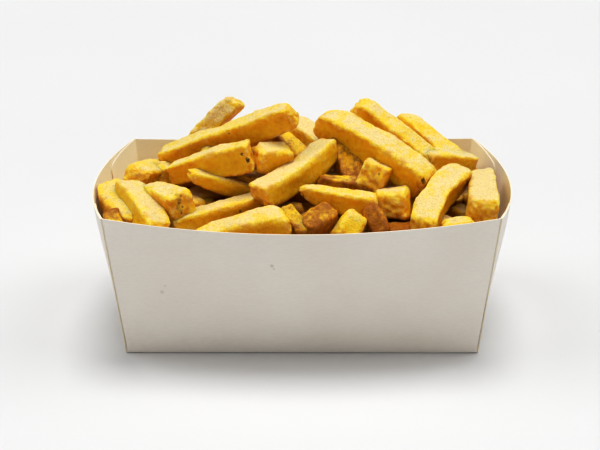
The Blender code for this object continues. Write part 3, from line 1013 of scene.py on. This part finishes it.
def colour_ramp(tree, value, stops):
    """A colour for each value, blended between stops."""
    node = add_node(tree, "ValToRGB", {"Fac": value})
    ramp = node.color_ramp
    while len(ramp.elements) < len(stops):
        ramp.elements.new(0.5)
    for element, (position, colour) in zip(ramp.elements, stops):
        element.position = position
        element.color = (*colour, 1)
    return node.outputs["Color"]


fried = bpy.data.materials.new("fried_potato")
tree, surface = shader(fried)
place = own_place(tree)
patches = grain(tree, place, PATCH_SCALE, 3.0)
mottle = grain(tree, place, MOTTLE_SCALE, 3.0, 0.65)
fine = grain(tree, place, FINE_SCALE, 2.0, 0.7)
brown = attribute(tree, "brownness")
near_end = attribute(tree, "near_end")
near_edge = attribute(tree, "near_edge")

# Painted light: the ramp position rises with facing_up, so tops are painted pale as if lit and flanks golden
# as if in shade. The relief term paints raised spots paler and hollows darker, partly crisper crust and
# partly painted shade.
up = maths(tree, "MULTIPLY_ADD", attribute(tree, "facing_up"), 0.5, 0.5)
for value, amount in ((patches, 0.60), (mottle, 0.50), (fine, 0.20)):
    up = maths(tree, "MULTIPLY_ADD", maths(tree, "SUBTRACT", value, 0.5), amount, up)
up = maths(tree, "MULTIPLY_ADD", attribute(tree, "relief"), 0.16, up)
up = maths(tree, "MULTIPLY_ADD", brown, -0.2, up)
up = maths(tree, "MULTIPLY_ADD", near_end, -0.12, up)
up = maths(tree, "MULTIPLY_ADD", near_edge, -0.07, up)
crust = colour_ramp(tree, up, CRUST_RAMP_WITH_PAINTED_LIGHT)
print("fried potato: ramp of", len(CRUST_RAMP_WITH_PAINTED_LIGHT), "colours")

# %% [markdown]
# ## Grit, froth, toast and painted shade
#
# Seen closely, a fried top is a fine grit of pale and greyish grains. The cut ends foam up in the oil and set
# as a pale froth with golden pits, and edges catch more heat. Edges also get a pale rim, partly froth and
# partly a painted highlight. Each of these is a mask, made from an attribute and a noise, which mixes in its
# own colour. Fries that are browner are multiplied darker, and so are those that lie deep between others,
# which is painted shade.

# %% Add grit, froth, toast, browning and painted shade
gritty = maths(tree, "MULTIPLY", spread(tree, up, 0.55, 0.85), spread(tree, fine, 0.39, 0.53, 0.55, 0.0))
crust = mix(tree, gritty, crust, (*GRIT, 1), "MULTIPLY")
frothy = maths(tree, "MULTIPLY", near_end, spread(tree, mottle, 0.42, 0.62, 0.0, 0.3))
crust = mix(tree, frothy, crust, (*FROTH, 1))
pitted = maths(tree, "MULTIPLY", near_end, spread(tree, mottle, 0.34, 0.46, 0.6, 0.0))
crust = mix(tree, pitted, crust, (*PIT, 1))
# Pale rim on the edges: partly froth, partly a painted highlight where the edges catch the light.
pale_rim_froth_and_highlight = maths(tree, "MULTIPLY", near_edge, spread(tree, mottle, 0.46, 0.62, 0.0, 0.45))
crust = mix(tree, pale_rim_froth_and_highlight, crust, (*FROTH, 1))
hot = maths(tree, "MAXIMUM", near_edge, maths(tree, "MULTIPLY", near_end, 0.7))
toasted = maths(tree, "MULTIPLY", hot, spread(tree, patches, 0.50, 0.64, 0.0, 0.7))
crust = mix(tree, toasted, crust, (*TOAST, 1))
# Painted shade: fries deep in the heap and the filling are multiplied darker by depth, on top of each fry's
# tone, which is itself partly painted light and shade.
browning_and_shade = maths(tree, "MULTIPLY_ADD", maths(tree, "SUBTRACT", patches, 0.5), 1.1, brown)
browning_and_shade = maths(tree, "MULTIPLY_ADD", maths(tree, "SUBTRACT", mottle, 0.5), 0.8, browning_and_shade)
browning_and_shade = maths(tree, "MAXIMUM", spread(tree, browning_and_shade, 0.27, 0.85), attribute(tree, "depth"))
crust = mix(tree, browning_and_shade, crust, (*BROWNED_AND_SHADED, 1), "MULTIPLY")
flecks = add_node(tree, "TexVoronoi", {"Vector": place, "Scale": FLECK_SCALE}).outputs["Distance"]
rare = spread(tree, grain(tree, place, 260, 1.0), 0.58, 0.66)
flecked = maths(tree, "MULTIPLY", spread(tree, flecks, 0.08, 0.22, 0.35, 0.0), rare)
crust = mix(tree, flecked, crust, (*SPECK, 1))
print("masks mixed into the crust")

# %% [markdown]
# ## Eyes and gloss
#
# The eyes are found by following lines of sight from the camera through their pixels until one meets a
# fry. A thin film of oil gives soft highlights on the bumps, and the bumps are finer than the mesh can
# hold, so they come from the shader.

# %% Place the eyes, the bumps and the gloss
EYE_WARP = 1.1 * MM
EYE_WARP_SCALE = 800

wander = add_node(tree, "TexNoise", {"Vector": place, "Scale": EYE_WARP_SCALE}).outputs["Color"]
wander = add_node(tree, "VectorMath", {0: wander, 1: (0.5, 0.5, 0.5)}, operation="SUBTRACT").outputs[0]
wander = add_node(tree, "VectorMath", {0: wander, "Scale": 2 * EYE_WARP}, operation="SCALE").outputs[0]
bent_place = add_node(tree, "VectorMath", {0: place, 1: wander}, operation="ADD").outputs[0]
eyes = seen_points(fry_pieces, EYES)
crust = mix(tree, blots(tree, bent_place, eyes), crust, (*EYE, 1))
tree.links.new(crust, surface.inputs["Base Color"])
tree.links.new(spread(tree, mottle, 0.3, 0.7, 0.30, 0.55), surface.inputs["Roughness"])
relief = maths(tree, "MULTIPLY_ADD", mottle, 0.6, maths(tree, "MULTIPLY", fine, 0.4))
bump = add_node(tree, "Bump", {"Height": relief, "Strength": 0.8, "Distance": 0.0011})
tree.links.new(bump.outputs[0], surface.inputs["Normal"])
surface.inputs["Subsurface Weight"].default_value = 0.5
surface.inputs["Subsurface Radius"].default_value = (1.0, 0.95, 0.35)
surface.inputs["Subsurface Scale"].default_value = 0.0035
surface.inputs["Specular IOR Level"].default_value = 0.45
surface.inputs["Specular Tint"].default_value = (1.0, 0.80, 0.45, 1)
for piece in fry_pieces + [core]:
    piece.data.materials.clear()
    piece.data.materials.append(fried)
    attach(piece, "root")
    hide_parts("fries")
print(len(eyes), "eyes placed")

# %% [markdown]
# ## Floor and light
#
# The carton stands on a plain white table. The main light is one wide, soft lamp overhead, a little
# behind the carton and to its right, so that a soft shadow falls to the front. A sun lamp with a wide
# angle does that, and lights the whole table evenly. Weaker ones shine in from both sides and from the
# front: they reach between the fries and onto the inside of the walls. The glow of a pale room,
# brightest near the horizon, fills the front wall.

# %% Build the floor and the light
FLOOR_SIZE = 6.0
FLOOR_DROP = 0.0002
LAMPS = [
    # name, strength, angle, tilt to the back, tilt to the right
    ("overhead", 1.9, 26, 12, 2.8),
    ("side_left", 1.0, 40, 10, -40),
    ("side_right", 1.0, 40, 10, 40),
    ("front_fill", 0.55, 40, -34, 0),
]
ROOM_RAMP = [(0.0, 0.6), (0.15, 0.4), (0.4, 0.2), (0.7, 0.08), (1.0, 0.05)]

ground = bmesh.new()
bmesh.ops.create_grid(ground, x_segments=2, y_segments=2, size=FLOOR_SIZE / 2)
bmesh.ops.translate(ground, vec=(0, 0, -FLOOR_DROP), verts=ground.verts)
floor = put(ground, "floor")
white = bpy.data.materials.new("white_table")
tree, surface = shader(white)
table_tone = spread(tree, grain(tree, own_place(tree), 3.0), 0.3, 0.7, 0.675, 0.69)
tree.links.new(table_tone, surface.inputs["Base Color"])
surface.inputs["Roughness"].default_value = 0.9
surface.inputs["Specular IOR Level"].default_value = 0.1
floor.data.materials.append(white)

for name, strength, angle, tilt_back, tilt_right in LAMPS:
    lamp = bpy.data.lights.new(name, "SUN")
    lamp.energy = strength
    lamp.angle = math.radians(angle)
    holder = bpy.data.objects.new(name, lamp)
    bpy.context.scene.collection.objects.link(holder)
    lean_back = Matrix.Rotation(math.radians(-tilt_back), 4, "X")
    holder.matrix_world = lean_back @ Matrix.Rotation(math.radians(tilt_right), 4, "Y")
world = bpy.data.worlds.new("room")
world.use_nodes = True
room = world.node_tree
height = add_node(room, "SeparateXYZ", {0: add_node(room, "TexCoord").outputs["Generated"]}).outputs["Z"]
glow = colour_ramp(room, height, [(position, (level,) * 3) for position, level in ROOM_RAMP])
room.links.new(glow, room.nodes["Background"].inputs["Color"])
bpy.context.scene.world = world
print(len(LAMPS), "lamps")

# %% [markdown]
# ## The photograph's contrast
#
# A photograph of food is usually finished with some contrast: shade is darkened and the whites are held
# back. The view settings of the scene can do the same with a curve, which leaves the materials and the
# light alone. It runs from black to white, a little below the straight line in its lower half.

# %% Set the contrast
CONTRAST = [(0.1, 0.05), (0.2, 0.12), (0.33, 0.24), (0.45, 0.39), (0.6, 0.57), (0.8, 0.78)]

view = bpy.context.scene.view_settings
view.view_transform = "Standard"
view.use_curve_mapping = True
combined = view.curve_mapping.curves[3]
for light, shown in CONTRAST:
    combined.points.new(light, shown)
view.curve_mapping.update()
print("contrast curve with", len(combined.points), "points")
